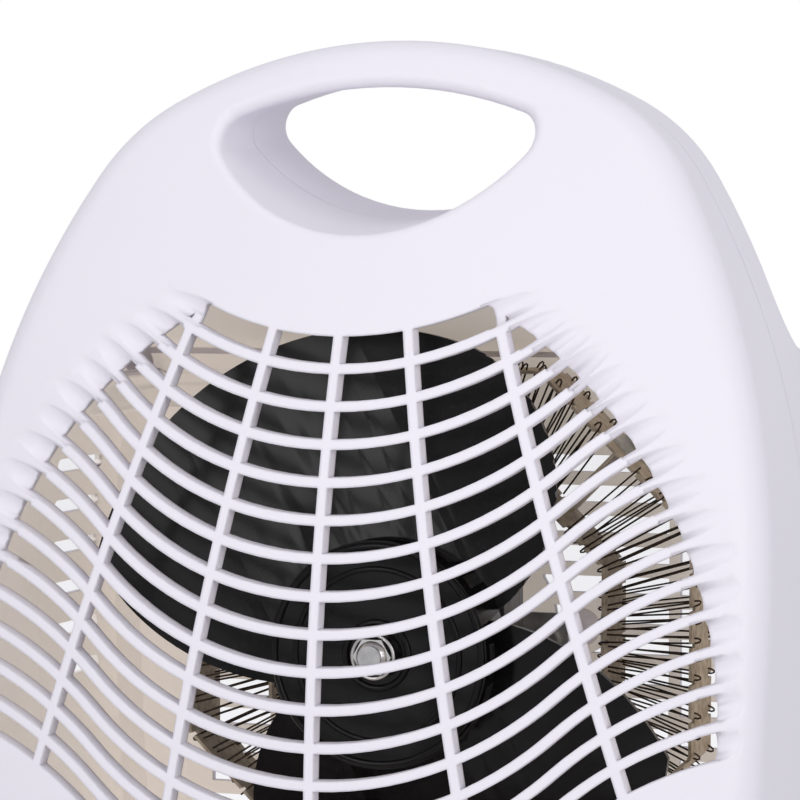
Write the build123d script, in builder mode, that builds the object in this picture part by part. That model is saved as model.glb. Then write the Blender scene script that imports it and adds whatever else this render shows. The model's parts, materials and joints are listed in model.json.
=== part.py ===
"""Portable fan heater with a carrying handle, built as an assembly of separate pieces.

The heater stands on the plane z = 0 and faces -Y, with X across its width.
Two moulded half shells meet at the plane y = parting_y. The front shell carries
the bowed air grille and the two dials. The rear shell carries the motor, the
ring-shaped heating element and the air inlet. Lengths are in millimetres and
angles in degrees.
"""

import os
from math import asin, atan2, cos, degrees, radians, sin, sqrt

from build123d import *

os.makedirs("parts", exist_ok=True)

# Overall size
overall_height = 258
half_width = 104
front_y = -57  # foremost point of the bowed front
rear_y = 67
parting_y = 11
base_z = 4  # underside of the shells, held up by the feet
wall = 2.2

# Outline of the shells, seen from the front
top_radius = 119
shoulder_radius = 50
side_radius = 204
side_start_angle = 60  # from the vertical, where the shoulder meets the side
lower_side_radius = 1140
corner_radius = 14
edge_radius = 12
rear_edge_radius = 9
inner_edge_chamfer = 7
rear_inner_chamfer = 5

# Bowed front, a part of a ball
front_radius = 350
front_high_z = 67
ball_centre = (0, front_y + front_radius, front_high_z)

# Handle
handle_bar = 13
handle_bottom_z = 211.3
handle_bottom_radius = 52
handle_corner_radius = 6
handle_wall = 2
handle_rim_radius = 2.5
handle_rear_y = 35.5
handle_front_y = -14.5
handle_slope = 6  # rise of the finger hole towards the rear

# Rear shell, seen from the side
shelf_z = 178
shelf_rise = 8
shelf_radius = 20
shelf_hollow_radius = 10

# Air grille: bowed slats crossed by straight ribs
opening_z = 95
opening_half_width = 94.5
opening_side_radius = 112
slat_pitch = 8.84
slat_rows = 16
slat_top_z = 187.3
slat_thickness = 2.4
slat_radius = 85.5
slat_bend_x = 58
flare_radius = 90
flare_end_angle = 5
rib_width = 2.4
rib_height_z = 180.2
inner_rib_x = 18.5
inner_rib_angle = 10
outer_rib_x = 42
outer_rib_angle = 18.1
grille_depth = 4
grille_margin = 8
groove_radius = 3.4
groove_tilt = 11
groove_depth = 2.4
groove_length = 30

# Fan
fan_z = 106.5
fan_y = -1
fan_tip_radius = 82
hub_radius = 28.5
hub_depth = 16
hub_wall = 2
boss_radius = 8
boss_length = 18
nut_radius = 5
nut_height = 4
blade_count = 2
blade_middle_angle = 117
leading_edge = [(20, 100), (60, 69), (78, 41)]  # radius and angle from the blade's middle
trailing_edge = [(20, 90), (50, 66), (78, 47)]
blade_half_chord = 62
blade_rise = 11
blade_camber = 5
blade_thickness = 1.8
blade_tip_fillet = 5
shaft_radius = 3
shaft_end = 6  # how far the shaft reaches past the hub and past the rear bracket
running_gap = 0.03

# Motor
rotor_radius = 13.2
rotor_length = 18
rotor_gap = 0.3
stack_y = 19
stack_depth = 16
stack_half_width = 24
stack_top = 20
stack_bottom = 36
yoke_height = 8
window_half_width = 15
window_height = 11
coil_half_width = 14
coil_side = 7
bush_radius = 6
bush_length = 7
bush_proud = 1
bracket_width = 14
bracket_thickness = 1.5
bracket_reach = 8
bracket_half_span = 18
motor_arm = 36
stack_screw_x = 21
motor_screw_x = 31
motor_post_radius = 5
small_screw_radius = 1.5
small_head_radius = 2.8
small_head_height = 2
small_screw_length = 10

# Heating element
element_y = 34
element_depth = 20
inner_ring_radius = 46  # across the flats, as for the outer ring
outer_ring_radius = 69
mica_thickness = 0.8
ring_sides = 8
ring_turn = 22.5
sector_count = 4
wire_size = 0.6
wire_strokes = 11
wire_half_sector = 39
wire_bend = 1.6
bank_inset = 3
notch_width = 1.2
spoke_angle = 45
clip_width = 8
clip_length = 14
clip_thickness = 1
element_post_radius = 4
cutout_radius = 6
cutout_height = 5
fuse_radius = 1.5
fuse_length = 12

# Dials, switches and lamp
dial_x = 58
dial_z = 36
dial_radius = 17
dial_height = 14
seat_radius = 19.5
seat_y = -52.4
seat_thickness = 3
seat_back_y = -40
dial_gap = 0.6
dial_skirt = 5
dial_wall = 1.8
grip_length = 31
grip_width = 9
grip_chamfer = 1.2
spindle_radius = 3
spindle_hole_radius = 3.05
spindle_socket = 9
spindle_reach = 10
switch_width = 24
switch_depth = 16
spindle_pocket = 8
plate_thickness = 2
contact_block = 8
contact_depth = 13
strip_thickness = 0.5
strip_width = 6
strip_length = 20
lamp_z = 27
lamp_radius = 3.2
lamp_flange_radius = 4.2
lamp_flange_y = -51.9
lamp_flange_thickness = 1
lens_length = 5
bulb_radius = 2
bulb_length = 9

# Feet
foot_x = 76
front_foot_y = -22
rear_foot_y = 48
foot_radius = 8
foot_stem_radius = 3
foot_head_radius = 4.5
foot_head_height = 2

# Case screws
post_radius = 5.6
pilot_radius = 1.6
screw_hole_radius = 1.9
counterbore_radius = 3.9
screw_head_radius = 3.6
screw_head_height = 2.4
screw_length = 22
screw_depth = 14
case_screw_places = [(56, 228), (90, 168), (84, 20)]

# Air inlet and side vents
inlet_width = 150
inlet_height = 116
inlet_z = 98
inlet_slot = 4.4
inlet_pitch = 8
inlet_rib = 3
inlet_rib_pitch = 37.5
inlet_corner = 12
inlet_disc_radius = 24
vent_count = 6
vent_pitch = 11
vent_low_z = 94
vent_height = 3.6
vent_start_y = 20
vent_length = 28
cord_hole_radius = 4
cord_hole_x = 62
cord_hole_z = 22


def at_y(y):
    """Plane facing the front, standing at the given y."""
    return Plane.XZ.offset(-y)


def both_sides(places):
    """The given front-view places and their mirror images."""
    return [(side * x, z) for side in (-1, 1) for x, z in places]


# Front-view sketches

dial_places = [(-dial_x, dial_z), (dial_x, dial_z)]

top_centre = Vector(0, overall_height - top_radius)
shoulder_part = (half_width - side_radius + (side_radius - shoulder_radius) * sin(radians(side_start_angle)))
shoulder_angle = degrees(asin(shoulder_part / (top_radius - shoulder_radius)))
shoulder_centre = top_centre + Vector(0, top_radius - shoulder_radius).rotate(Axis.Z, -shoulder_angle)
side_centre = shoulder_centre - Vector(0, side_radius - shoulder_radius).rotate(Axis.Z, -side_start_angle)
lower_centre = side_centre + Vector(side_radius - lower_side_radius, 0)
lower_angle = degrees(asin((side_centre.Y - base_z) / lower_side_radius))

with BuildSketch() as body_outline:
    with BuildLine():
        CenterArc(top_centre, top_radius, 90, -shoulder_angle)
        CenterArc(shoulder_centre, shoulder_radius, 90 - shoulder_angle, shoulder_angle - side_start_angle)
        CenterArc(side_centre, side_radius, 90 - side_start_angle, side_start_angle - 90)
        lower_side = CenterArc(lower_centre, lower_side_radius, 0, -lower_angle)
        Line(lower_side @ 1, (0, base_z))
        Line((0, base_z), (0, overall_height))
    make_face()
    mirror(about=Plane.YZ)
    fillet(body_outline.vertices().group_by(Axis.Y)[0], corner_radius)

with BuildSketch() as inner_outline:
    offset(body_outline.sketch, amount=-wall)

with BuildSketch() as handle_hole:
    with Locations(top_centre):
        Circle(top_radius - handle_bar)
    with Locations((0, handle_bottom_z + handle_bottom_radius)):
        Circle(handle_bottom_radius, mode=Mode.INTERSECT)
    fillet(handle_hole.vertices(), handle_corner_radius)

slat_bend_angle = degrees(asin(slat_bend_x / slat_radius))
flare_x = (slat_radius + flare_radius) * sin(radians(slat_bend_angle))
flare_drop = (slat_radius + flare_radius) * cos(radians(slat_bend_angle)) - slat_radius


def slat_edge(middle_z, shift):
    """Right half of a slat's edge: a bowl at the middle that flares out at the side."""
    bowl = CenterArc((0, middle_z + slat_radius), slat_radius - shift, 270, slat_bend_angle)
    flare = CenterArc(
        (flare_x, middle_z - flare_drop),
        flare_radius + shift,
        90 + slat_bend_angle,
        flare_end_angle - slat_bend_angle,
    )
    return bowl, flare


def slat_rise(x):
    """Height of a slat's middle line at x above its lowest point."""
    if x < slat_bend_x:
        return slat_radius - sqrt(slat_radius**2 - x**2)
    return sqrt(flare_radius**2 - (flare_x - x) ** 2) - flare_drop


def gap_face(low_z, high_z):
    """Right half of the gap between the slats whose middles are at low_z and high_z."""
    with BuildSketch() as gap_half:
        with BuildLine():
            low_bowl, low_flare = slat_edge(low_z, slat_thickness / 2)
            high_bowl, high_flare = slat_edge(high_z, -slat_thickness / 2)
            Line(low_flare @ 1, high_flare @ 1)
            Line(low_bowl @ 0, high_bowl @ 0)
        make_face()
    return gap_half.sketch


slat_low_z = slat_top_z - slat_rows * slat_pitch
opening_centre = Vector(opening_half_width - opening_side_radius, opening_z)

with BuildSketch() as grille_opening:
    add(gap_face(slat_low_z, slat_top_z))
    with Locations(opening_centre):
        Circle(opening_side_radius, mode=Mode.INTERSECT)
    mirror(about=Plane.YZ)

with BuildSketch() as grille_cells:
    for row in range(slat_rows):
        add(gap_face(slat_low_z + row * slat_pitch, slat_low_z + (row + 1) * slat_pitch))
    with Locations(opening_centre):
        Circle(opening_side_radius, mode=Mode.INTERSECT)
    with Locations((0, opening_z)):
        Rectangle(rib_width, 2 * opening_side_radius, mode=Mode.SUBTRACT)
    with Locations((inner_rib_x, rib_height_z)):
        Rectangle(rib_width, 2 * overall_height, rotation=inner_rib_angle, mode=Mode.SUBTRACT)
    with Locations((outer_rib_x, rib_height_z)):
        Rectangle(rib_width, 2 * overall_height, rotation=outer_rib_angle, mode=Mode.SUBTRACT)
    mirror(about=Plane.YZ)


def groove_start(middle_z):
    """Where the middle of a gap meets the opening's edge, found by halving the interval."""
    near, far = slat_bend_x / 4, opening_half_width
    for _ in range(30):
        x = (near + far) / 2
        z = middle_z + slat_rise(x)
        outside = (Vector(x, z) - opening_centre).length > opening_side_radius
        near, far = (near, x) if outside else (x, far)
    return x, z


def groove_plane(middle_z, side):
    """Plane whose normal is the axis of a groove that runs out of a gap and fades into the shell."""
    x, z = groove_start(middle_z)
    slope = atan2(slat_rise(x + 1) - slat_rise(x - 1), 2)
    centre = Vector(*ball_centre)
    y = centre.Y - sqrt(front_radius**2 - x**2 - (z - front_high_z) ** 2)
    outward = (Vector(x, y, z) - centre).normalized()
    along = Vector(cos(slope), 0, sin(slope))
    along = (along - outward * along.dot(outward)).normalized()
    axis = along * cos(radians(groove_tilt)) + outward * sin(radians(groove_tilt))
    start = Vector(x, y, z) + outward * (groove_radius - groove_depth) - axis * groove_radius
    return Plane(
        origin=(side * start.X, start.Y, start.Z),
        z_dir=(side * axis.X, axis.Y, axis.Z),
    )


def handle_prism(outline):
    """The outline of the finger hole run through the handle along its slope."""
    with BuildPart() as prism:
        with BuildSketch(at_y(handle_front_y)):
            add(outline)
        extrude(
            amount=rear_y - front_y,
            dir=(0, cos(radians(handle_slope)), sin(radians(handle_slope))),
            both=True,
        )
    return prism.part


handle_core = handle_prism(handle_hole.sketch)
handle_tube = handle_prism(offset(handle_hole.sketch, amount=handle_wall))

# Front shell

with BuildPart() as grille_pad:
    with BuildSketch(at_y(parting_y)):
        offset(grille_opening.sketch, amount=grille_margin)
    extrude(amount=parting_y - front_y)
    with Locations(ball_centre):
        Sphere(front_radius - grille_depth, mode=Mode.SUBTRACT)

with BuildPart() as front_hollow:
    with BuildSketch(at_y(parting_y)):
        add(inner_outline.sketch)
    extrude(amount=parting_y - front_y)
    with Locations(ball_centre):
        Sphere(front_radius - wall, mode=Mode.INTERSECT)
    chamfer(front_hollow.faces().sort_by(Axis.Y)[0].edges(), inner_edge_chamfer)
    add(grille_pad.part, mode=Mode.SUBTRACT)
    add(handle_tube, mode=Mode.SUBTRACT)
    with BuildSketch(at_y(parting_y)):
        with Locations(*both_sides(case_screw_places)):
            Circle(post_radius)
    extrude(amount=parting_y - front_y, mode=Mode.SUBTRACT)
    with BuildSketch(at_y(seat_back_y)):
        with Locations(*dial_places):
            Circle(seat_radius)
    extrude(amount=parting_y - front_y, mode=Mode.SUBTRACT)
    with BuildSketch(at_y(seat_back_y)):
        with Locations(*dial_places):
            Circle(seat_radius - wall)
    extrude(amount=seat_back_y - seat_y - seat_thickness)

with BuildPart() as front_shell:
    with BuildSketch(at_y(parting_y)):
        add(body_outline.sketch)
    extrude(amount=parting_y - front_y)
    with Locations(ball_centre):
        Sphere(front_radius, mode=Mode.INTERSECT)
    fillet(front_shell.faces().sort_by(Axis.Y)[0].edges(), edge_radius)
    add(handle_core, mode=Mode.SUBTRACT)
    ball_face = front_shell.faces().filter_by(GeomType.SPHERE).sort_by(SortBy.AREA)[-1]
    fillet(ball_face.inner_wires().edges(), handle_rim_radius)
    with BuildSketch(at_y(seat_back_y)):
        with Locations(*dial_places):
            Circle(seat_radius)
    extrude(amount=seat_back_y - seat_y)
    with BuildSketch(at_y(seat_y)):
        with Locations(*dial_places):
            Circle(seat_radius)
    extrude(amount=seat_radius, mode=Mode.SUBTRACT)
    add(front_hollow.part, mode=Mode.SUBTRACT)
    with BuildSketch(at_y(parting_y)):
        add(grille_cells.sketch)
    extrude(amount=parting_y - front_y, mode=Mode.SUBTRACT)
    groove_planes = [
        groove_plane(slat_low_z + (row + 0.5) * slat_pitch, side)
        for row in range(slat_rows)
        for side in (-1, 1)
    ]
    with Locations(*groove_planes):
        Cylinder(
            groove_radius,
            groove_length,
            align=(Align.CENTER, Align.CENTER, Align.MIN),
            mode=Mode.SUBTRACT,
        )
    with BuildSketch(at_y(parting_y)):
        with Locations(*dial_places):
            Circle(spindle_hole_radius)
        with Locations((0, lamp_z)):
            Circle(lamp_radius)
    extrude(amount=parting_y - front_y, mode=Mode.SUBTRACT)
    with BuildSketch(at_y(parting_y)):
        with Locations(*both_sides(case_screw_places)):
            Circle(pilot_radius)
    extrude(amount=screw_depth, mode=Mode.SUBTRACT)
    with BuildSketch(Plane.XY.offset(base_z)):
        with Locations((-foot_x, front_foot_y), (foot_x, front_foot_y)):
            Circle(foot_stem_radius)
    extrude(amount=wall, mode=Mode.SUBTRACT)
front_shell.part.label = "front_shell"
export_step(front_shell.part, "parts/front_shell.step")


# Rear shell

with BuildSketch() as side_profile:
    with BuildLine():
        Polyline(
            (parting_y, base_z),
            (rear_y, base_z),
            (rear_y, shelf_z),
            (handle_rear_y, shelf_z + shelf_rise),
            (handle_rear_y, overall_height),
            (parting_y, overall_height),
            close=True,
        )
    make_face()
    fillet(side_profile.vertices().sort_by_distance((rear_y, shelf_z))[0], shelf_radius)
    fillet(
        side_profile.vertices().sort_by_distance((handle_rear_y, shelf_z + shelf_rise))[0],
        shelf_hollow_radius,
    )

with BuildSketch() as inner_profile:
    offset(side_profile.sketch, amount=-wall)
    with Locations((parting_y, base_z + wall)):
        Rectangle(wall, overall_height - base_z - 2 * wall, align=(Align.MIN, Align.MIN))


def rear_rim(solid):
    """Edges where the side walls of a solid meet its rear faces."""
    walls = solid.faces().filter_by(lambda face: face.bounding_box().min.Y < parting_y + wall)
    return walls.edges().filter_by(lambda edge: edge.bounding_box().min.Y > parting_y + wall)


stack_end_y = stack_y + stack_depth
motor_post_y = stack_end_y + bracket_thickness
element_end_y = element_y + element_depth
clip_radius = outer_ring_radius + clip_thickness + element_post_radius
motor_post_places = [(-motor_screw_x, fan_z), (motor_screw_x, fan_z)]

with BuildPart() as rear_hollow:
    with BuildSketch(at_y(parting_y)):
        add(inner_outline.sketch)
    extrude(amount=parting_y - rear_y)
    with BuildSketch(Plane.YZ):
        add(inner_profile.sketch)
    extrude(amount=half_width, both=True, mode=Mode.INTERSECT)
    chamfer(rear_rim(rear_hollow), rear_inner_chamfer)
    add(handle_tube, mode=Mode.SUBTRACT)
    with BuildSketch(at_y(parting_y)):
        with Locations(*both_sides(case_screw_places)):
            Circle(post_radius)
    extrude(amount=parting_y - rear_y, mode=Mode.SUBTRACT)

with BuildSketch() as inlet_slots:
    with Locations((0, inlet_z)):
        with GridLocations(0, inlet_pitch, 1, int(inlet_height / inlet_pitch)):
            Rectangle(inlet_width, inlet_slot)
        RectangleRounded(inlet_width, inlet_height, inlet_corner, mode=Mode.INTERSECT)
        with GridLocations(inlet_rib_pitch, 0, int(inlet_width / inlet_rib_pitch), 1):
            Rectangle(inlet_rib, inlet_height, mode=Mode.SUBTRACT)
    with Locations((0, fan_z)):
        Circle(inlet_disc_radius, mode=Mode.SUBTRACT)
        with PolarLocations(clip_radius, sector_count, spoke_angle):
            Circle(element_post_radius + wall, mode=Mode.SUBTRACT)
    with Locations(*motor_post_places):
        Circle(motor_post_radius + wall, mode=Mode.SUBTRACT)

with BuildPart() as rear_shell:
    with BuildSketch(at_y(parting_y)):
        add(body_outline.sketch)
    extrude(amount=parting_y - rear_y)
    with BuildSketch(Plane.YZ):
        add(side_profile.sketch)
    extrude(amount=half_width, both=True, mode=Mode.INTERSECT)
    fillet(rear_rim(rear_shell), rear_edge_radius)
    add(handle_core, mode=Mode.SUBTRACT)
    hole_edges = rear_shell.edges().filter_by_position(Axis.Y, handle_rear_y, handle_rear_y)
    fillet(
        hole_edges.filter_by(lambda edge: edge.bounding_box().min.Z > handle_bottom_z - wall).filter_by(
            lambda edge: edge.bounding_box().max.X < handle_bottom_radius
            and edge.bounding_box().min.X > -handle_bottom_radius
        ),
        handle_rim_radius,
    )
    add(rear_hollow.part, mode=Mode.SUBTRACT)
    with BuildSketch(Plane.YZ):
        with Locations((vent_start_y + vent_length / 2, vent_low_z + (vent_count - 1) * vent_pitch / 2)):
            with GridLocations(0, vent_pitch, 1, vent_count):
                SlotOverall(vent_length, vent_height)
    extrude(amount=half_width, both=True, mode=Mode.SUBTRACT)
    with BuildSketch(at_y(rear_y)):
        add(inlet_slots.sketch)
        with Locations((cord_hole_x, cord_hole_z)):
            Circle(cord_hole_radius)
    extrude(amount=wall, mode=Mode.SUBTRACT)
    with BuildSketch(at_y(rear_y - wall)):
        with Locations(*motor_post_places):
            Circle(motor_post_radius)
    extrude(amount=rear_y - wall - motor_post_y)
    with BuildSketch(at_y(rear_y - wall)):
        with Locations((0, fan_z)):
            with PolarLocations(clip_radius, sector_count, spoke_angle):
                Circle(element_post_radius)
    extrude(amount=rear_y - wall - element_end_y)
    with BuildSketch(at_y(motor_post_y)):
        with Locations(*motor_post_places):
            Circle(small_screw_radius)
    extrude(amount=-small_screw_length, mode=Mode.SUBTRACT)
    with BuildSketch(at_y(element_end_y)):
        with Locations((0, fan_z)):
            with PolarLocations(clip_radius, sector_count, spoke_angle):
                Circle(small_screw_radius)
    extrude(amount=-small_screw_length, mode=Mode.SUBTRACT)
    with BuildSketch(at_y(parting_y)):
        with Locations(*both_sides(case_screw_places)):
            Circle(screw_hole_radius)
    extrude(amount=parting_y - rear_y, mode=Mode.SUBTRACT)
    with BuildSketch(at_y(parting_y - screw_depth + screw_length)):
        with Locations(*both_sides(case_screw_places)):
            Circle(counterbore_radius)
    extrude(amount=parting_y - rear_y, mode=Mode.SUBTRACT)
    with BuildSketch(Plane.XY.offset(base_z)):
        with Locations((-foot_x, rear_foot_y), (foot_x, rear_foot_y)):
            Circle(foot_stem_radius)
    extrude(amount=wall, mode=Mode.SUBTRACT)
rear_shell.part.label = "rear_shell"
export_step(rear_shell.part, "parts/rear_shell.step")


# Feet and case screws

with BuildPart() as rubber_feet:
    with Locations(*[(side * foot_x, y) for side in (-1, 1) for y in (front_foot_y, rear_foot_y)]):
        Cylinder(foot_radius, base_z, align=(Align.CENTER, Align.CENTER, Align.MIN))
        Cylinder(foot_stem_radius, base_z + wall, align=(Align.CENTER, Align.CENTER, Align.MIN))
        with Locations((0, 0, base_z + wall)):
            Cylinder(foot_head_radius, foot_head_height, align=(Align.CENTER, Align.CENTER, Align.MIN))
rubber_feet.part.label = "rubber_feet"
export_step(rubber_feet.part, "parts/rubber_feet.step")

with BuildPart() as case_screws:
    with BuildSketch(at_y(parting_y - screw_depth)):
        with Locations(*both_sides(case_screw_places)):
            Circle(pilot_radius)
    extrude(amount=-screw_length)
    with BuildSketch(at_y(parting_y - screw_depth + screw_length)):
        with Locations(*both_sides(case_screw_places)):
            Circle(screw_head_radius)
    extrude(amount=-screw_head_height)
case_screws.part.label = "case_screws"
export_step(case_screws.part, "parts/case_screws.step")


# Fan, turning with the motor shaft

fan_axis = Axis((0, 0, fan_z), (0, 1, 0))
hub_front_y = fan_y - hub_depth / 2


def polar(radius, angle):
    """Point at an angle from straight up, clockwise, about the fan's axis."""
    return (radius * sin(radians(angle)), fan_z + radius * cos(radians(angle)))


with BuildPart() as fan_blade:
    with BuildSketch(Plane.XY.offset(fan_z)):
        with BuildLine():
            faces_y = [fan_y + blade_camber + half for half in (-blade_thickness / 2, blade_thickness / 2)]
            for middle_y in faces_y:
                ThreePointArc(
                    (-blade_half_chord, middle_y - blade_camber - blade_rise),
                    (0, middle_y),
                    (blade_half_chord, middle_y - blade_camber + blade_rise),
                )
            for end, rise in ((-blade_half_chord, -blade_rise), (blade_half_chord, blade_rise)):
                end_y = fan_y + rise
                Line((end, end_y - blade_thickness / 2), (end, end_y + blade_thickness / 2))
        make_face()
    extrude(amount=fan_tip_radius, both=True)
    with BuildSketch(at_y(parting_y)):
        with BuildLine():
            leading = ThreePointArc(*[polar(radius, angle) for radius, angle in leading_edge])
            trailing = ThreePointArc(*[polar(radius, -angle) for radius, angle in trailing_edge])
            ThreePointArc(leading @ 1, (0, fan_z + fan_tip_radius), trailing @ 1)
            Line(leading @ 0, trailing @ 0)
        make_face()
    extrude(amount=parting_y - front_y, both=True, mode=Mode.INTERSECT)

with BuildPart() as fan_impeller:
    with BuildSketch(at_y(hub_front_y)):
        with Locations((0, fan_z)):
            Circle(hub_radius)
    extrude(amount=-hub_depth)
    for turn in range(blade_count):
        add(fan_blade.part.rotate(fan_axis, 90 - blade_middle_angle - 360 / blade_count * turn))
    with BuildSketch(at_y(hub_front_y + hub_wall)):
        with Locations((0, fan_z)):
            Circle(hub_radius - hub_wall)
    extrude(amount=-hub_depth, mode=Mode.SUBTRACT)
    with BuildSketch(at_y(hub_front_y)):
        with Locations((0, fan_z)):
            Circle(boss_radius)
    extrude(amount=-boss_length)
    with BuildSketch(at_y(hub_front_y)):
        with Locations((0, fan_z)):
            Circle(shaft_radius)
    extrude(amount=-boss_length, mode=Mode.SUBTRACT)
fan_impeller.part.label = "fan_impeller"
export_step(fan_impeller.part, "parts/fan_impeller.step")

with BuildPart() as fan_nut:
    with BuildSketch(at_y(hub_front_y)):
        with Locations((0, fan_z)):
            RegularPolygon(nut_radius, 6)
            Circle(shaft_radius, mode=Mode.SUBTRACT)
    extrude(amount=nut_height)
fan_nut.part.label = "fan_nut"
export_step(fan_nut.part, "parts/fan_nut.step")

with BuildPart() as motor_shaft:
    with BuildSketch(at_y(hub_front_y - shaft_end)):
        with Locations((0, fan_z)):
            Circle(shaft_radius)
    extrude(amount=hub_front_y - 2 * shaft_end - stack_end_y)
motor_shaft.part.label = "motor_shaft"
export_step(motor_shaft.part, "parts/motor_shaft.step")

with BuildPart() as motor_rotor:
    with BuildSketch(at_y(stack_y + stack_depth / 2)):
        with Locations((0, fan_z)):
            Circle(rotor_radius)
            Circle(shaft_radius, mode=Mode.SUBTRACT)
    extrude(amount=rotor_length / 2, both=True)
motor_rotor.part.label = "motor_rotor"
export_step(motor_rotor.part, "parts/motor_rotor.step")


# Motor

with BuildPart() as motor_core:
    with BuildSketch(at_y(stack_y)):
        with Locations((0, fan_z - stack_bottom)):
            Rectangle(2 * stack_half_width, stack_bottom + stack_top, align=(Align.CENTER, Align.MIN))
        with Locations((0, fan_z - stack_bottom + yoke_height)):
            Rectangle(
                2 * window_half_width,
                window_height,
                align=(Align.CENTER, Align.MIN),
                mode=Mode.SUBTRACT,
            )
        with Locations((0, fan_z)):
            Circle(rotor_radius + rotor_gap, mode=Mode.SUBTRACT)
        with Locations((-stack_screw_x, fan_z), (stack_screw_x, fan_z)):
            Circle(small_screw_radius, mode=Mode.SUBTRACT)
    extrude(amount=-stack_depth)
motor_core.part.label = "motor_core"
export_step(motor_core.part, "parts/motor_core.step")

with BuildPart() as motor_coil:
    with BuildSketch(Plane.YZ):
        with Locations((stack_y + stack_depth / 2, fan_z - stack_bottom + yoke_height / 2)):
            RectangleRounded(stack_depth + 2 * coil_side, yoke_height + 2 * coil_side, coil_side / 2)
            Rectangle(stack_depth, yoke_height, mode=Mode.SUBTRACT)
    extrude(amount=coil_half_width, both=True)
motor_coil.part.label = "motor_coil"
export_step(motor_coil.part, "parts/motor_coil.step")


def bracket_sketch(stack_face, outward, arm):
    """Top view of a bracket that stands off a face of the stack and carries a bush."""
    plate = stack_face + outward * bracket_reach
    with BuildSketch() as top_view:
        with BuildLine():
            Polyline(
                (0, plate),
                (bracket_half_span, plate),
                (bracket_half_span, stack_face + outward * bracket_thickness),
                (arm, stack_face + outward * bracket_thickness),
                (arm, stack_face),
                (bracket_half_span - bracket_thickness, stack_face),
                (bracket_half_span - bracket_thickness, plate - outward * bracket_thickness),
                (0, plate - outward * bracket_thickness),
                close=True,
            )
        make_face()
        mirror(about=Plane.YZ)
    return top_view.sketch


with BuildPart() as front_bracket:
    with BuildSketch(Plane.XY.offset(fan_z)):
        add(bracket_sketch(stack_y, -1, stack_half_width))
    extrude(amount=bracket_width / 2, both=True)
    with BuildSketch(at_y(stack_y)):
        with Locations((0, fan_z)):
            Circle(bush_radius)
        with Locations((-stack_screw_x, fan_z), (stack_screw_x, fan_z)):
            Circle(small_screw_radius)
    extrude(amount=bracket_reach, mode=Mode.SUBTRACT)
front_bracket.part.label = "front_bracket"
export_step(front_bracket.part, "parts/front_bracket.step")

with BuildPart() as rear_bracket:
    with BuildSketch(Plane.XY.offset(fan_z)):
        add(bracket_sketch(stack_end_y, 1, motor_arm))
    extrude(amount=bracket_width / 2, both=True)
    with BuildSketch(at_y(stack_end_y)):
        with Locations((0, fan_z)):
            Circle(bush_radius)
        with Locations((-stack_screw_x, fan_z), (stack_screw_x, fan_z), *motor_post_places):
            Circle(small_screw_radius)
    extrude(amount=-bracket_reach, mode=Mode.SUBTRACT)
rear_bracket.part.label = "rear_bracket"
export_step(rear_bracket.part, "parts/rear_bracket.step")

with BuildSketch() as bush_ring:
    with Locations((0, fan_z)):
        Circle(bush_radius)
        Circle(shaft_radius + running_gap, mode=Mode.SUBTRACT)

with BuildPart() as front_bush:
    with BuildSketch(at_y(stack_y - bracket_reach - bush_proud)):
        add(bush_ring.sketch)
    extrude(amount=-bush_length)
front_bush.part.label = "front_bush"
export_step(front_bush.part, "parts/front_bush.step")

with BuildPart() as rear_bush:
    with BuildSketch(at_y(stack_end_y + bracket_reach + bush_proud)):
        add(bush_ring.sketch)
    extrude(amount=bush_length)
rear_bush.part.label = "rear_bush"
export_step(rear_bush.part, "parts/rear_bush.step")

with BuildPart() as motor_screws:
    with BuildSketch(at_y(stack_y - bracket_thickness)):
        with Locations((-stack_screw_x, fan_z), (stack_screw_x, fan_z)):
            Circle(small_screw_radius)
    extrude(amount=-stack_depth - 3 * bracket_thickness)
    with BuildSketch(at_y(stack_y - bracket_thickness)):
        with Locations((-stack_screw_x, fan_z), (stack_screw_x, fan_z)):
            Circle(small_head_radius)
    extrude(amount=small_head_height)
    with BuildSketch(at_y(stack_end_y)):
        with Locations(*motor_post_places):
            Circle(small_screw_radius)
    extrude(amount=-small_screw_length)
    with BuildSketch(at_y(stack_end_y)):
        with Locations(*motor_post_places):
            Circle(small_head_radius)
    extrude(amount=small_head_height)
motor_screws.part.label = "motor_screws"
export_step(motor_screws.part, "parts/motor_screws.step")


# Heating element

stroke_angles = [
    wire_half_sector * (2 * stroke / (wire_strokes - 1) - 1) for stroke in range(wire_strokes)
]
sector_angles = [sector * 360 / sector_count for sector in range(sector_count)]


def on_ring(flat_radius, angle):
    """Point of an eight-sided ring at the given angle, from its radius to the flats."""
    from_flat = (angle + ring_turn) % (2 * ring_turn) - ring_turn
    radius = flat_radius / cos(radians(from_flat))
    return Vector(radius * cos(radians(angle)), fan_z + radius * sin(radians(angle)))


def strip(points, width):
    """Outline of a strip of the given width along a bent line."""
    ahead = [(b - a).normalized() for a, b in zip(points, points[1:])]
    before = [ahead[0]] + ahead
    after = ahead + [ahead[-1]]
    corners = []
    for point, first, second in zip(points, before, after):
        across = (first + second).rotate(Axis.Z, 90) * (width / 2 / (1 + first.dot(second)))
        corners.append((point + across, point - across))
    return [left for left, right in corners] + [right for left, right in reversed(corners)]


with BuildSketch() as zigzag:
    for sector_angle in sector_angles:
        line_points = []
        for number, stroke_angle in enumerate(stroke_angles):
            ends = [
                on_ring(inner_ring_radius - mica_thickness - wire_bend, sector_angle + stroke_angle),
                on_ring(outer_ring_radius + wire_bend, sector_angle + stroke_angle),
            ]
            line_points += ends if number % 2 == 0 else reversed(ends)
        with BuildLine():
            Polyline(*strip(line_points, wire_size), close=True)
        make_face()

with BuildSketch() as notches:
    with Locations((0, fan_z)):
        for sector_angle in sector_angles:
            for stroke_angle in stroke_angles:
                with PolarLocations((inner_ring_radius + outer_ring_radius) / 2, 1, sector_angle + stroke_angle):
                    Rectangle(outer_ring_radius, notch_width)

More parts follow.
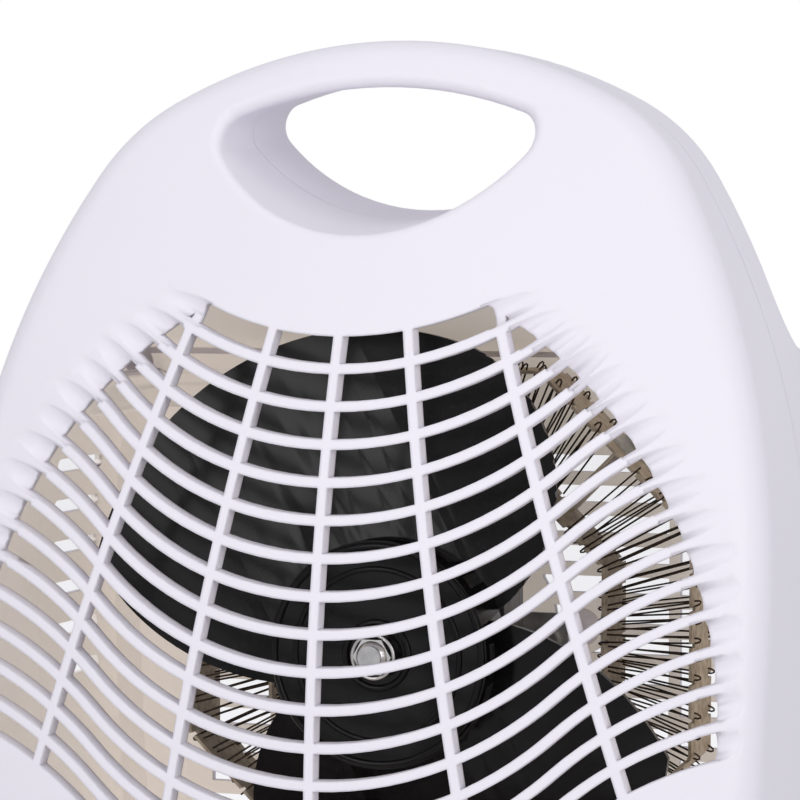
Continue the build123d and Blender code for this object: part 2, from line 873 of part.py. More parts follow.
with BuildPart() as notch_bars:
    with BuildSketch(at_y(element_y)):
        add(notches.sketch)
    extrude(amount=-bank_inset - wire_size / 2)
    with BuildSketch(at_y(element_end_y)):
        add(notches.sketch)
    extrude(amount=bank_inset + wire_size / 2)

with BuildPart() as mica_inner_ring:
    with BuildSketch(at_y(element_y)):
        with Locations((0, fan_z)):
            RegularPolygon(inner_ring_radius, ring_sides, major_radius=False, rotation=ring_turn)
            RegularPolygon(
                inner_ring_radius - mica_thickness,
                ring_sides,
                major_radius=False,
                rotation=ring_turn,
                mode=Mode.SUBTRACT,
            )
    extrude(amount=-element_depth)
    add(notch_bars.part, mode=Mode.SUBTRACT)
mica_inner_ring.part.label = "mica_inner_ring"
export_step(mica_inner_ring.part, "parts/mica_inner_ring.step")

with BuildPart() as mica_outer_ring:
    with BuildSketch(at_y(element_y)):
        with Locations((0, fan_z)):
            RegularPolygon(outer_ring_radius, ring_sides, major_radius=False, rotation=ring_turn)
            RegularPolygon(
                outer_ring_radius - mica_thickness,
                ring_sides,
                major_radius=False,
                rotation=ring_turn,
                mode=Mode.SUBTRACT,
            )
    extrude(amount=-element_depth)
    add(notch_bars.part, mode=Mode.SUBTRACT)
mica_outer_ring.part.label = "mica_outer_ring"
export_step(mica_outer_ring.part, "parts/mica_outer_ring.step")

with BuildPart() as mica_spokes:
    with BuildSketch(at_y(element_y)):
        with Locations((0, fan_z)):
            with PolarLocations(inner_ring_radius, sector_count, spoke_angle):
                Rectangle(
                    outer_ring_radius - mica_thickness - inner_ring_radius,
                    mica_thickness,
                    align=(Align.MIN, Align.CENTER),
                )
    extrude(amount=-element_depth)
mica_spokes.part.label = "mica_spokes"
export_step(mica_spokes.part, "parts/mica_spokes.step")

with BuildPart() as heater_wire_front:
    with BuildSketch(at_y(element_y + bank_inset)):
        add(zigzag.sketch)
    extrude(amount=wire_size / 2, both=True)
heater_wire_front.part.label = "heater_wire_front"
export_step(heater_wire_front.part, "parts/heater_wire_front.step")

with BuildPart() as heater_wire_rear:
    with BuildSketch(at_y(element_end_y - bank_inset)):
        add(zigzag.sketch)
    extrude(amount=wire_size / 2, both=True)
heater_wire_rear.part.label = "heater_wire_rear"
export_step(heater_wire_rear.part, "parts/heater_wire_rear.step")

with BuildPart() as element_clips:
    with BuildSketch(at_y(element_end_y)):
        with Locations((0, fan_z)):
            with PolarLocations(outer_ring_radius, sector_count, spoke_angle):
                Rectangle(2 * element_post_radius + clip_thickness, clip_width, align=(Align.MIN, Align.CENTER))
            with PolarLocations(clip_radius, sector_count, spoke_angle):
                Circle(small_screw_radius, mode=Mode.SUBTRACT)
    extrude(amount=clip_thickness)
    with BuildSketch(at_y(element_end_y)):
        with Locations((0, fan_z)):
            with PolarLocations(outer_ring_radius, sector_count, spoke_angle):
                Rectangle(clip_thickness, clip_width, align=(Align.MIN, Align.CENTER))
    extrude(amount=clip_length)
element_clips.part.label = "element_clips"
export_step(element_clips.part, "parts/element_clips.step")

with BuildPart() as element_screws:
    with BuildSketch(at_y(element_end_y - clip_thickness)):
        with Locations((0, fan_z)):
            with PolarLocations(clip_radius, sector_count, spoke_angle):
                Circle(small_screw_radius)
    extrude(amount=-small_screw_length)
    with BuildSketch(at_y(element_end_y - clip_thickness)):
        with Locations((0, fan_z)):
            with PolarLocations(clip_radius, sector_count, spoke_angle):
                Circle(small_head_radius)
    extrude(amount=small_head_height)
element_screws.part.label = "element_screws"
export_step(element_screws.part, "parts/element_screws.step")

element_middle_y = element_y + element_depth / 2
ring_inside = inner_ring_radius - mica_thickness

with BuildPart() as thermal_cutout:
    with Locations((0, element_middle_y, fan_z + ring_inside)):
        Cylinder(cutout_radius, cutout_height, align=(Align.CENTER, Align.CENTER, Align.MAX))
thermal_cutout.part.label = "thermal_cutout"
export_step(thermal_cutout.part, "parts/thermal_cutout.step")

with BuildPart() as thermal_fuse:
    with Locations((ring_inside - fuse_radius, element_middle_y, fan_z)):
        Cylinder(fuse_radius, fuse_length)
thermal_fuse.part.label = "thermal_fuse"
export_step(thermal_fuse.part, "parts/thermal_fuse.step")


# Dials, thermostat, switch and lamp

plate_y = seat_y + seat_thickness
dial_back_y = seat_y - dial_gap
dial_face_y = dial_back_y - dial_height


def dial(x):
    """Knob with a round skirt and a grip bar, standing over the seat at x."""
    with BuildPart() as knob:
        with BuildSketch(at_y(dial_back_y)):
            with Locations((x, dial_z)):
                Circle(dial_radius)
        extrude(amount=dial_skirt)
        with BuildSketch(at_y(dial_back_y)):
            with Locations((x, dial_z)):
                SlotOverall(grip_length, grip_width, rotation=90)
        extrude(amount=dial_height)
        chamfer(knob.faces().sort_by(Axis.Y)[0].edges(), grip_chamfer)
        with BuildSketch(at_y(dial_back_y)):
            with Locations((x, dial_z)):
                Circle(dial_radius - dial_wall)
                Circle(spindle_radius + 2 * dial_wall, mode=Mode.SUBTRACT)
        extrude(amount=dial_skirt - dial_wall, mode=Mode.SUBTRACT)
        with BuildSketch(at_y(dial_back_y)):
            with Locations((x, dial_z)):
                Circle(spindle_radius)
        extrude(amount=spindle_socket, mode=Mode.SUBTRACT)
    return knob.part


def spindle(x):
    """Turned pin that reaches from the dial's socket through the seat."""
    with BuildPart() as pin:
        with BuildSketch(at_y(dial_back_y - spindle_socket)):
            with Locations((x, dial_z)):
                Circle(spindle_radius)
        extrude(amount=-spindle_socket - spindle_reach)
    return pin.part


with BuildPart() as thermostat_dial:
    add(dial(-dial_x))
thermostat_dial.part.label = "thermostat_dial"
export_step(thermostat_dial.part, "parts/thermostat_dial.step")

with BuildPart() as thermostat_spindle:
    add(spindle(-dial_x))
thermostat_spindle.part.label = "thermostat_spindle"
export_step(thermostat_spindle.part, "parts/thermostat_spindle.step")

with BuildPart() as thermostat_frame:
    with BuildSketch(at_y(plate_y)):
        with Locations((-dial_x, dial_z)):
            Rectangle(switch_width, switch_width)
            Circle(spindle_hole_radius, mode=Mode.SUBTRACT)
    extrude(amount=-plate_thickness)
    with BuildSketch(at_y(plate_y)):
        with Locations((-dial_x, dial_z - switch_width / 2)):
            Rectangle(contact_block, contact_block, align=(Align.CENTER, Align.MIN))
    extrude(amount=-contact_depth)
thermostat_frame.part.label = "thermostat_frame"
export_step(thermostat_frame.part, "parts/thermostat_frame.step")

with BuildPart() as thermostat_blade:
    with BuildSketch(at_y(plate_y + contact_depth)):
        with Locations((-dial_x, dial_z - switch_width / 2)):
            Rectangle(strip_width, strip_length, align=(Align.CENTER, Align.MIN))
    extrude(amount=-strip_thickness)
thermostat_blade.part.label = "thermostat_blade"
export_step(thermostat_blade.part, "parts/thermostat_blade.step")

with BuildPart() as selector_dial:
    add(dial(dial_x))
selector_dial.part.label = "selector_dial"
export_step(selector_dial.part, "parts/selector_dial.step")

with BuildPart() as selector_spindle:
    add(spindle(dial_x))
selector_spindle.part.label = "selector_spindle"
export_step(selector_spindle.part, "parts/selector_spindle.step")

with BuildPart() as selector_switch:
    with BuildSketch(at_y(plate_y)):
        with Locations((dial_x, dial_z)):
            Rectangle(switch_width, switch_width)
    extrude(amount=-switch_depth)
    with BuildSketch(at_y(plate_y)):
        with Locations((dial_x, dial_z)):
            Circle(spindle_hole_radius)
    extrude(amount=-spindle_pocket, mode=Mode.SUBTRACT)
selector_switch.part.label = "selector_switch"
export_step(selector_switch.part, "parts/selector_switch.step")

with BuildPart() as pilot_lens:
    with BuildSketch(at_y(lamp_flange_y)):
        with Locations((0, lamp_z)):
            Circle(lamp_flange_radius)
    extrude(amount=-lamp_flange_thickness)
    with BuildSketch(at_y(lamp_flange_y)):
        with Locations((0, lamp_z)):
            Circle(lamp_radius)
    extrude(amount=lens_length)
    chamfer(pilot_lens.faces().sort_by(Axis.Y)[0].edges(), lamp_radius / 3)
pilot_lens.part.label = "pilot_lens"
export_step(pilot_lens.part, "parts/pilot_lens.step")

with BuildPart() as pilot_lamp:
    with BuildSketch(at_y(lamp_flange_y + lamp_flange_thickness)):
        with Locations((0, lamp_z)):
            Circle(bulb_radius)
    extrude(amount=-bulb_length)
pilot_lamp.part.label = "pilot_lamp"
export_step(pilot_lamp.part, "parts/pilot_lamp.step")
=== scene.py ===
# %% [markdown]
# # A portable fan heater, dressed for its portrait
#
# The heater's shells, fan, motor and dials come from a fixed frame that was drawn
# elsewhere. This lesson gives them their finishes and adds what is easier to
# make here, such as the thin zigzag wires of the heating element. Everything is in
# metres, with the front of the heater towards -Y.

# %% Load the frame and keep its size
import json
from math import cos, pi, radians, sin

import bpy
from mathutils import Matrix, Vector

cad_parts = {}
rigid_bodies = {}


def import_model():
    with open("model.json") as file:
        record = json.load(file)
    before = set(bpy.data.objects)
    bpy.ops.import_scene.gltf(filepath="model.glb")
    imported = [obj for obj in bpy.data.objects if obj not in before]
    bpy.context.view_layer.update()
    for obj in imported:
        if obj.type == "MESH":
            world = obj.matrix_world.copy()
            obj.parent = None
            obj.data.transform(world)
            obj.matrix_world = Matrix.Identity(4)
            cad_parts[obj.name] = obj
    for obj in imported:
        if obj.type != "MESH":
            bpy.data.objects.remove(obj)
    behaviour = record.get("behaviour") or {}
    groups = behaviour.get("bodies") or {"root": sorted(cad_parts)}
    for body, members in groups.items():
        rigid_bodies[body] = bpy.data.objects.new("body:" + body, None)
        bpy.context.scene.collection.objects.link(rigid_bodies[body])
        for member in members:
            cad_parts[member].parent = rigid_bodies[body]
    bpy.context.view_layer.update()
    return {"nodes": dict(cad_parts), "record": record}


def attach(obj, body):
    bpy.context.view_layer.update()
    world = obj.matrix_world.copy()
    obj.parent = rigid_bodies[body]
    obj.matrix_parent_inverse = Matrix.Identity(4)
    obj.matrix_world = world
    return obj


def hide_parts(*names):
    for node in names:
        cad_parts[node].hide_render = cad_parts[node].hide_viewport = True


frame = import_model()

# %% [markdown]
# ## The camera and the studio
#
# The photo is taken with a long lens from a little to the heater's left-hand side (our
# right) and slightly above, so that one sees into the grille. Only the upper two thirds of
# the heater are in the frame. A long lens keeps the slats' pitch nearly even from front
# to back. The frame is cropped from a wider picture, and a small shift of the lens does
# the same.

# %% Place the camera
camera_place = (0.2827, -0.7903, 0.2128)
camera_elevation = 5
camera_azimuth = 19.5
lens_length = 152.3
lens_shift = 0.15
bpy.ops.object.camera_add(
    location=camera_place,
    rotation=(radians(90 - camera_elevation), 0, radians(camera_azimuth)),
)
camera = bpy.context.object
camera.name = "portrait_camera"
camera.data.lens = lens_length
camera.data.shift_y = lens_shift
bpy.context.scene.camera = camera
print("camera at", camera_place)

# %% [markdown]
# The light is that of a white product booth: broad soft lamps in front, at the right and
# above, and a dim even glow from all round. The backdrop looks white to the camera, and
# through anything clear, but it sends only soft grey light to the heater, so its pale
# plastic keeps its shading.

# %% Light the booth
booth_glow = 0.6
softbox_size = 0.9
heater_middle = (0, 0, 0.14)


def add_softbox(name, place, watts):
    bpy.ops.object.light_add(type="AREA", location=place)
    lamp = bpy.context.object
    lamp.name = name
    beam = Vector(heater_middle) - Vector(place)
    lamp.rotation_euler = beam.to_track_quat("-Z", "Y").to_euler()
    lamp.data.size = softbox_size
    lamp.data.energy = watts


add_softbox("front_softbox", (-0.35, -1.5, 0.75), 6.4)
add_softbox("right_softbox", (1.3, -0.9, 0.5), 6.2)
add_softbox("top_softbox", (0.0, -0.2, 1.4), 1.9)
print("booth glow:", booth_glow)

# %% Make the backdrop white to the camera
world = bpy.data.worlds.new("booth")
bpy.context.scene.world = world
world.use_nodes = True
sky = world.node_tree
sky.nodes.clear()
ray = sky.nodes.new("ShaderNodeLightPath")
seen = sky.nodes.new("ShaderNodeMath")
seen.operation = "MAXIMUM"
sky.links.new(ray.outputs["Is Camera Ray"], seen.inputs[0])
sky.links.new(ray.outputs["Is Transmission Ray"], seen.inputs[1])
white = sky.nodes.new("ShaderNodeBackground")
white.inputs["Color"].default_value = (1, 1, 1, 1)
white.inputs["Strength"].default_value = 1
glow = sky.nodes.new("ShaderNodeBackground")
glow.inputs["Color"].default_value = (0.95, 0.95, 1.0, 1)
glow.inputs["Strength"].default_value = booth_glow
blend = sky.nodes.new("ShaderNodeMixShader")
sky.links.new(seen.outputs[0], blend.inputs["Fac"])
sky.links.new(glow.outputs[0], blend.inputs[1])
sky.links.new(white.outputs[0], blend.inputs[2])
end = sky.nodes.new("ShaderNodeOutputWorld")
sky.links.new(blend.outputs[0], end.inputs["Surface"])
bpy.context.scene.view_settings.view_transform = "Standard"

# %% [markdown]
# ## Shader maths in plain Python
#
# Finishes are node trees, and long trees are hard to read. A small class wraps one
# output of a node. Adding or multiplying two of them adds the Math node that does it.

# %% Wrap sockets and finishes


class Value:
    """One output of a node. Maths on it adds Math nodes to its finish."""

    def __init__(self, finish, socket):
        self.finish = finish
        self.socket = socket

    def maths(self, operation, *values):
        return self.finish.node("Math", {"operation": operation}, dict(enumerate(values)))

    def __add__(self, other):
        return self.maths("ADD", self, other)

    def __sub__(self, other):
        return self.maths("SUBTRACT", self, other)

    def __rsub__(self, other):
        return self.maths("SUBTRACT", other, self)

    def __mul__(self, other):
        return self.maths("MULTIPLY", self, other)

    __radd__ = __add__
    __rmul__ = __mul__


class Finish:
    """A material with one main shader, whose nodes are added by what they are."""

    def __init__(self, name, **fixed):
        self.material = bpy.data.materials.new(name)
        self.material.use_nodes = True
        self.tree = self.material.node_tree
        self.shader = self.tree.nodes["Principled BSDF"]
        for socket, value in fixed.items():
            self.shader.inputs[socket.replace("_", " ")].default_value = value
        self.places = self.node("TexCoord", output="Object")

    def node(self, kind, settings=None, values=None, output=0):
        node = self.tree.nodes.new("ShaderNode" + kind)
        for name, setting in (settings or {}).items():
            if name == "stops":
                ramp = node.color_ramp
                while len(ramp.elements) < len(setting):
                    ramp.elements.new(0.5)
                for element, (position, color) in zip(ramp.elements, setting):
                    element.position = position
                    element.color = (*color, 1)
            else:
                setattr(node, name, setting)
        for name, value in (values or {}).items():
            self.feed(node.inputs[name], value)
        return Value(self, node.outputs[output])

    def feed(self, socket, value):
        if isinstance(value, Value):
            self.tree.links.new(value.socket, socket)
        else:
            socket.default_value = value

    def set(self, **values):
        for name, value in values.items():
            self.feed(self.shader.inputs[name.replace("_", " ")], value)
        return self

    def noise(self, scale, detail=3, stretch=None):
        places = self.places
        if stretch:
            places = self.node("Mapping", {}, {"Vector": places, "Scale": stretch})
        return self.node(
            "TexNoise",
            {},
            {"Vector": places, "Scale": scale, "Detail": detail},
            "Factor" if bpy.app.version >= (5, 0, 0) else "Fac",
        )

    def ramp(self, factor, *stops):
        return self.node("ValToRGB", {"stops": stops}, {"Fac": factor}, "Color")

    def bump(self, height, depth, strength=0.5, normal=None):
        values = {"Height": height, "Distance": depth, "Strength": strength}
        if normal:
            values["Normal"] = normal
        return self.set(Normal=self.node("Bump", {}, values, "Normal"))


print("finishes are ready to be mixed")

# %% [markdown]
# ## The white shells
#
# Both half shells are injection-moulded ABS. It looks plainly white, but up close the mould
# gives it a very fine orange peel, and handling makes its gloss a little uneven. Its
# edges are never knife sharp: a Bevel node rounds them in the shading, by 1.1 mm outside
# and 0.6 mm inside. The inner walls show through the grille, where the light is warmer.
# Real plastic doesn't glow, so the inner finish is painted light: a warmer, slightly darker
# copy of the white with an emission, a painted glow that only stands in for that light, and
# comes down in a darker room.

# %% Mix the white plastics


def white_plastic(name, color, shade, edge_round):
    finish = Finish(name, IOR=1.46)
    drift = finish.noise(14, 2)
    peel = finish.noise(2600, 2)
    rounded = finish.node("Bevel", {"samples": 6}, {"Radius": edge_round}, "Normal")
    finish.set(
        Base_Color=finish.ramp(drift, (0.3, shade), (0.7, color)),
        Roughness=0.40 + drift * 0.1 + peel * 0.05,
    )
    finish.bump(peel, 0.00004, 0.25, rounded)
    return finish


outer_round = 0.0011
inner_round = 0.0006
# the strength of the painted glow on the inner walls
painted_glow_strength = 0.3
housing_white = white_plastic(
    "housing_white", (0.85, 0.825, 0.885), (0.835, 0.81, 0.87), outer_round
)
# painted light: a warmer copy of the white for the inner walls, with a painted warm glow
inner_painted_glow = white_plastic("inner_painted_glow", (0.83, 0.79, 0.76), (0.80, 0.76, 0.73), inner_round)
inner_painted_glow.set(Emission_Color=(0.86, 0.78, 0.70, 1), Emission_Strength=painted_glow_strength)
print("white plastics mixed: 2")

# %% [markdown]
# ## The black fan
#
# The impeller is moulded in a glossy black plastic that mirrors the booth in soft grey
# patches. Dust and the flow of the plastic break the gloss into faint streaks round the hub.

# %% Mix the fan's black
fan_black = Finish("fan_black", IOR=1.4, Coat_Roughness=0.12, Specular_IOR_Level=0.3)
streaks = fan_black.noise(30, 3)
dust = fan_black.noise(900, 3)
fan_black.set(
    Base_Color=fan_black.ramp(
        dust, (0.45, (0.004, 0.004, 0.0045)), (0.8, (0.009, 0.0085, 0.009))
    ),
    Roughness=0.1 + streaks * 0.14 + dust * 0.04,
    Coat_Weight=streaks * 0.25,
)
fan_black.bump(dust, 0.00002, 0.1)
print("fan finish:", fan_black.material.name)

# %% [markdown]
# ## Mica and wire
#
# The boards are flakes of mica pressed with resin: brown, mottled, with a dull sheen. The
# wire has been red hot many times, so it is a dark brown oxide with a hint of copper.

# %% Mix the element's finishes
mica = Finish("mica_board")
flakes = mica.node("TexVoronoi", {}, {"Vector": mica.places, "Scale": 420}, "Distance")
mottle = mica.noise(120, 4)
mica.set(
    Base_Color=mica.ramp(
        flakes * 0.6 + mottle * 0.6,
        (0.25, (0.26, 0.20, 0.14)),
        (0.55, (0.44, 0.37, 0.28)),
        (0.85, (0.58, 0.51, 0.41)),
    ),
    Roughness=0.45 + mottle * 0.25,
)
mica.bump(flakes, 0.0002, 0.3)

hot_wire = Finish("hot_wire", Metallic=0.7)
scale_marks = hot_wire.noise(500, 4)
hot_wire.set(
    Base_Color=hot_wire.ramp(
        scale_marks,
        (0.35, (0.035, 0.026, 0.02)),
        (0.6, (0.07, 0.05, 0.035)),
        (0.8, (0.16, 0.10, 0.06)),
    ),
    Roughness=0.42 + scale_marks * 0.25,
)
hot_wire.bump(scale_marks, 0.0001, 0.3)
print("element finishes mixed: 2")

# %% [markdown]
# ## Metals of the motor
#
# Steel that is pressed, turned or plated differs mostly in its gloss. One recipe takes the
# colour, the gloss and how far the grain is drawn out along an axis.

# %% Mix the metals


def metal(name, light, dark, gloss, grain=(1, 1, 1), scale=300):
    finish = Finish(name, Metallic=1.0)
    brushed = finish.noise(scale, 4, grain)
    smudge = finish.noise(40, 3)
    finish.set(
        Base_Color=finish.ramp(brushed, (0.3, dark), (0.7, light)),
        Roughness=gloss + brushed * 0.15 + smudge * 0.12,
    )
    return finish.bump(brushed, 0.00008, 0.25)


bright_nut = metal("bright_nut", (0.82, 0.81, 0.80), (0.62, 0.61, 0.60), 0.08)
ground_steel = metal("ground_steel", (0.7, 0.7, 0.7), (0.5, 0.5, 0.5), 0.2, (1, 30, 1))
plated_steel = metal("plated_steel", (0.62, 0.62, 0.6), (0.45, 0.45, 0.43), 0.3)
screw_zinc = metal("screw_zinc", (0.7, 0.69, 0.66), (0.5, 0.5, 0.47), 0.25)
bronze = metal("sintered_bronze", (0.5, 0.33, 0.17), (0.34, 0.21, 0.1), 0.4, scale=900)
strip_brass = metal("strip_brass", (0.72, 0.55, 0.25), (0.5, 0.38, 0.16), 0.25)
fuse_tin = metal("fuse_tin", (0.72, 0.72, 0.73), (0.55, 0.55, 0.56), 0.25)
laminations = metal(
    "laminations", (0.42, 0.42, 0.43), (0.16, 0.15, 0.15), 0.35, (0.02, 1, 0.02), 1400
)
print("metals mixed: 8")

# %% [markdown]
# ## Smaller plastics
#
# The winding is wrapped in yellow tape, the switch bodies are black phenolic, the dials
# are a glossier white than the shells, and the lamp's lens is a clear coated red over a
# lamp that light goes through.

# %% Mix the smaller plastics


def moulded(name, light, dark, gloss, scale=700, depth=0.00005, **fixed):
    finish = Finish(name, **fixed)
    grain = finish.noise(scale, 3)
    cloud = finish.noise(35, 2)
    finish.set(
        Base_Color=finish.ramp(grain * 0.5 + cloud * 0.5, (0.35, dark), (0.65, light)),
        Roughness=gloss + grain * 0.1 + cloud * 0.06,
    )
    return finish.bump(grain, depth, 0.4)


dial_white = moulded(
    "dial_white", (0.84, 0.825, 0.86), (0.81, 0.795, 0.83), 0.2, 1800, 0.00002
)
dial_ink = moulded("dial_ink", (0.06, 0.06, 0.07), (0.04, 0.04, 0.045), 0.45)
nylon = moulded("nylon", (0.68, 0.66, 0.62), (0.6, 0.58, 0.54), 0.4)
phenolic = moulded("phenolic", (0.05, 0.045, 0.042), (0.025, 0.022, 0.02), 0.35)
foot_rubber = moulded(
    "foot_rubber", (0.045, 0.045, 0.047), (0.025, 0.025, 0.026), 0.7, 1200, 0.0001
)
winding_tape = moulded("winding_tape", (0.66, 0.53, 0.16), (0.5, 0.38, 0.09), 0.35, 90, 0.0004)
lens_red = moulded("lens_red", (0.62, 0.03, 0.02), (0.45, 0.015, 0.01), 0.08, Coat_Weight=0.6)
lamp_glass = moulded(
    "lamp_glass", (0.9, 0.55, 0.35), (0.8, 0.42, 0.25), 0.05, Transmission_Weight=0.6
)
print("plastics mixed: 8")

# %% [markdown]
# ## Dressing the pieces that stay
#
# Most pieces keep the frame's own mesh. Flat pieces look right as they are. Pieces with
# round faces come as loose triangles, which shade in facets, so a copy has its triangles
# joined and its gentle bends shaded smooth, and stands in for the original.

# %% Give the finishes
finish_of_node = {
    "rubber_feet": foot_rubber,
    "case_screws": screw_zinc,
    "motor_shaft": ground_steel,
    "motor_rotor": laminations,
    "motor_core": laminations,
    "motor_coil": winding_tape,
    "front_bracket": plated_steel,
    "rear_bracket": plated_steel,
    "front_bush": bronze,
    "rear_bush": bronze,
    "motor_screws": screw_zinc,
    "mica_inner_ring": mica,
    "mica_outer_ring": mica,
    "mica_spokes": mica,
    "element_clips": plated_steel,
    "element_screws": screw_zinc,
    "thermal_cutout": phenolic,
    "thermal_fuse": fuse_tin,
    "thermostat_spindle": nylon,
    "thermostat_frame": phenolic,
    "thermostat_blade": strip_brass,
    "selector_spindle": nylon,
    "selector_switch": phenolic,
    "pilot_lamp": lamp_glass,
}


def dress(piece, finish):
    piece.data.materials.clear()
    piece.data.materials.append(finish.material)


for node, finish in finish_of_node.items():
    dress(frame["nodes"][node], finish)
print("nodes dressed as they are:", len(finish_of_node))

# %% Copy the round pieces with smooth shading
body_of_node = {
    node: body for body, nodes in frame["record"]["behaviour"]["bodies"].items() for node in nodes
}


def only(piece):
    """Deselects everything but one piece and makes it the active one."""
    for other in bpy.context.view_layer.objects:
        other.select_set(False)
    piece.select_set(True)
    bpy.context.view_layer.objects.active = piece


merge_distance = 0.00001
flat_bend = 0.5


def smooth_copy(node, finish, bend=25):
    piece = frame["nodes"][node].copy()
    piece.data = piece.data.copy()
    piece.name = node + "_smooth"
    piece.parent = None
    for key in list(piece.keys()):
        del piece[key]
    bpy.context.collection.objects.link(piece)
    only(piece)
    bpy.ops.object.mode_set(mode="EDIT")
    bpy.ops.mesh.select_all(action="SELECT")
    bpy.ops.mesh.remove_doubles(threshold=merge_distance)
    bpy.ops.mesh.dissolve_limited(angle_limit=radians(flat_bend))
    bpy.ops.object.mode_set(mode="OBJECT")
    bpy.ops.object.shade_smooth_by_angle(angle=radians(bend))
    weights = piece.modifiers.new("weights", "WEIGHTED_NORMAL")
    weights.keep_sharp = True
    bpy.ops.object.modifier_apply(modifier="weights")
    dress(piece, finish)
    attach(piece, body_of_node[node])
    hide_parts(node)
    return piece


front_copy = smooth_copy("front_shell", housing_white)
rear_copy = smooth_copy("rear_shell", housing_white)
smooth_copy("fan_impeller", fan_black)
smooth_copy("fan_nut", bright_nut, 10)
dials = [smooth_copy(node, dial_white) for node in ("thermostat_dial", "selector_dial")]
smooth_copy("pilot_lens", lens_red)
print("round pieces copied: 7")

# %% [markdown]
# ## Painted warm light on the inside of the shells
#
# Seen through the grille, the shells' inner walls are beige: thin white plastic lets a
# little warm light through, and the rest bounces off mica. The faces that look inwards get
# a second finish of painted light: a warmer colour and a painted glow. The grille itself,
# the handle, and the edges of the slots in the rear wall keep the outer one. This test is a
# rough one: the walls of the deep screw holes pass it too, and look cream from behind.

# %% Paint the inner faces
middle = Vector((0, 0.02, 0.11))
grille_back = -0.028
rear_wall = 0.05
handle_foot = 0.2
facing_front = -0.5
for shell in (front_copy, rear_copy):
    # the second slot is the inner finish: painted warm light and a painted glow
    shell.data.materials.append(inner_painted_glow.material)
    inner_faces = 0
    for face in shell.data.polygons:
        place = face.center
        inward = face.normal.dot(place - middle) < 0
        in_wall = place.y > rear_wall and face.normal.y > facing_front
        if inward and not in_wall and place.y > grille_back and place.z < handle_foot:
            face.material_index = 1
            inner_faces += 1
    print(shell.name, "inner faces:", inner_faces)

# %% [markdown]
# ## The hub's trim
#
# The middle of the fan is what catches the eye behind the grille: moulded rings round
# the boss, and a bright cap and a spring ring on the nut. The cap is a ball pressed flat,
# and the shaft's end comes through its middle. The rings are thin tori, sunk by half in
# the hub's face. The frame has none of these five pieces.

# %% Turn the cap and the rings
fan_height = 0.1065
hub_front = -0.009
nut_front = hub_front - 0.004
cap_radius = 0.0042
cap_flatness = 0.62
hub_rings = (
    ("boss_ring", 0.0082, 0.0009),
    ("hub_ring", 0.0215, 0.0007),
    ("rim_ring", 0.0272, 0.0009),
)


def turned(name, finish):
    piece = bpy.context.object
    piece.name = name
    bpy.ops.object.transform_apply(location=True, rotation=True, scale=True)
    bpy.ops.object.shade_smooth()
    dress(piece, finish)
    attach(piece, "fan")


bpy.ops.mesh.primitive_uv_sphere_add(
    segments=40,
    ring_count=20,
    radius=cap_radius,
    location=(0, nut_front + 0.0006, fan_height),
    rotation=(pi / 2, 0, 0),
)
bpy.context.object.scale = (1, 1, cap_flatness)
turned("nut_cap", bright_nut)
for name, radius, thickness in hub_rings:
    bpy.ops.mesh.primitive_torus_add(
        major_segments=96,
        minor_segments=12,
        major_radius=radius,
        minor_radius=thickness,
        location=(0, hub_front, fan_height),
        rotation=(pi / 2, 0, 0),
    )
    turned(name, fan_black)
bpy.ops.mesh.primitive_torus_add(
    major_segments=64,
    minor_segments=10,
    major_radius=0.0054,
    minor_radius=0.0005,
    location=(0, nut_front + 0.001, fan_height),
    rotation=(pi / 2, 0, 0),
)
turned("spring_ring", bright_nut)
print("hub trim: 5 pieces")

# %% [markdown]
# ## The heater wire
#
# On the real element a thin resistance wire is laced through the notches of two mica
# rings. It runs out and back, out and back, with a rounded turn at each end, in front
# and behind. A smooth curve with one point at each end of a turn gives the rounded bends,
# and its bevel makes it round wire.

# %% Work out the wire's way
inner_turn = 0.0436
outer_turn = 0.0706
wire_radius = 0.00026
sectors = 4
half_sector = 39
strokes = 41
ring_turn = 22.5
turn_lean = 0.4
turn_drift = 0.0004
wire_sway = 0.0007


def on_ring(flat_radius, angle):
    """A point of an eight-sided ring, whose radius is given to its flats."""
    from_flat = (angle + ring_turn) % (2 * ring_turn) - ring_turn
    radius = flat_radius / cos(radians(from_flat))
    return radius * cos(radians(angle)), fan_height + radius * sin(radians(angle))


def wire_way(sector_middle, y):
    """The points of one sector's wire, out and back, swaying a little from front to back."""
    way = []
    for stroke in range(strokes):
        angle = sector_middle + half_sector * (2 * stroke / (strokes - 1) - 1)
        ends = [inner_turn, outer_turn]
        if stroke % 2:
            ends.reverse()
        for number, radius in enumerate(ends):
            leaning = angle + turn_lean * (1 if number else -1)
            x, z = on_ring(radius + turn_drift * sin(3.1 * stroke + sector_middle), leaning)
            way.append((x, y + wire_sway * sin(1.7 * stroke + number + sector_middle), z))
    return way


print("strokes in a sector:", strokes)

# %% Bend the wire


def heater_wire(name, node, y):
    runs = []
    for sector in range(sectors):
        curve = bpy.data.curves.new(name, "CURVE")
        curve.dimensions = "3D"
        way = wire_way(sector * 360 / sectors, y)
        line = curve.splines.new("NURBS")
        points = []
        for before, after in zip(way, way[1:] + way[-1:]):
            near = Vector(before).lerp(Vector(after), 0.1)
            far = Vector(before).lerp(Vector(after), 0.9)
            points += [near, far]
        line.points.add(len(points) - 1)
        for point, place in zip(line.points, points):
            point.co = (*place, 1)
        line.order_u = 3
        line.use_endpoint_u = True
        line.resolution_u = 2
        curve.bevel_depth = wire_radius
        curve.bevel_resolution = 1
        run = bpy.data.objects.new(name, curve)
        bpy.context.collection.objects.link(run)
        runs.append(run)
    only(runs[0])
    for run in runs:
        run.select_set(True)
    bpy.ops.object.convert(target="MESH")
    bpy.ops.object.join()
    wire = bpy.context.object
    wire.name = name
    bpy.ops.object.shade_smooth()
    dress(wire, hot_wire)
    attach(wire, "housing")
    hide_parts(node)
    print(name, "faces:", len(wire.data.polygons))


heater_wire("front_winding", "heater_wire_front", 0.037)
heater_wire("rear_winding", "heater_wire_rear", 0.051)

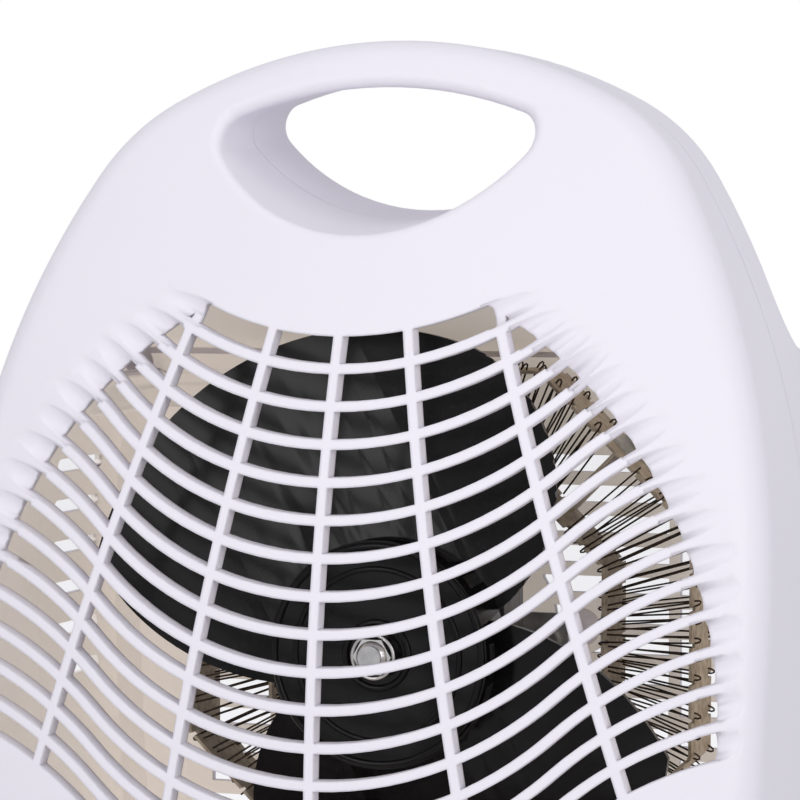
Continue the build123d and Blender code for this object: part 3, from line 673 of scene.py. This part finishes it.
# %% [markdown]
# ## Marks on the dials
#
# A dial needs a pointer and a scale. The pointer is a thin inlay on the grip bar. The scale
# is a row of short strokes printed on the skirt, which turn with the dial. Two surfaces in
# one plane flicker, so the grip's front is moved back by a hair behind the inlay.

# %% Make the dials' marks
dial_height = 0.036
skirt_front = -0.058
grip_front = -0.067
inlay_step = 0.00005
inlay_middle = 0.0085
inlay_size = (0.0012, 0.0002, 0.007)
stroke_size = (0.0008, 0.0002, 0.0024)
stroke_circle = 0.0148
strokes_round = 10
grip_shadow = 0.3
for dial in dials:
    for point in dial.data.vertices:
        if point.co.y < grip_front + inlay_step:
            point.co.y += inlay_step


def dial_mark(name, body, x):
    inlay_place = (x, grip_front + 0.0001, dial_height + inlay_middle)
    bpy.ops.mesh.primitive_cube_add(size=1, location=inlay_place)
    mark = bpy.context.object
    mark.scale = inlay_size
    bpy.ops.object.transform_apply(location=True, rotation=False, scale=True)
    bpy.ops.object.mode_set(mode="EDIT")
    for stroke in range(strokes_round):
        angle = radians(45 + 270 * stroke / (strokes_round - 1) + 180)
        if abs(sin(angle)) < grip_shadow:
            continue
        place = (
            x + stroke_circle * sin(angle),
            skirt_front + 0.00005,
            dial_height + stroke_circle * cos(angle),
        )
        bpy.ops.mesh.select_all(action="DESELECT")
        bpy.ops.mesh.primitive_cube_add(size=1, location=place, rotation=(0, angle, 0))
        bpy.ops.transform.resize(value=stroke_size, center_override=place)
    bpy.ops.object.mode_set(mode="OBJECT")
    mark.name = name
    dress(mark, dial_ink)
    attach(mark, body)


dial_spread = 0.058
dial_mark("thermostat_marks", "thermostat_knob", -dial_spread)
dial_mark("selector_marks", "selector_knob", dial_spread)
print("dials marked:", len(dials))

# %% [markdown]
# ## The floor
#
# The heater stands on a plain pale floor. The photo is cropped above it, but the
# floor's soft bounce lights the underside, and other views show it.

# %% Lay the floor
bpy.ops.mesh.primitive_plane_add(size=6, location=(0, 0, 0))
floor = bpy.context.object
floor.name = "floor"
floor_glow = 0.35  # seen by the camera only
floor_paint = Finish("floor_paint")
mist = floor_paint.noise(3, 2)
floor_paint.set(
    Base_Color=floor_paint.ramp(mist, (0.3, (0.78, 0.78, 0.78)), (0.7, (0.80, 0.80, 0.80))),
    Roughness=0.7,
)
camera_ray = floor_paint.node("LightPath", output="Is Camera Ray")
floor_paint.set(Emission_Color=(1, 1, 1, 1), Emission_Strength=camera_ray * floor_glow)
dress(floor, floor_paint)
print("floor laid")
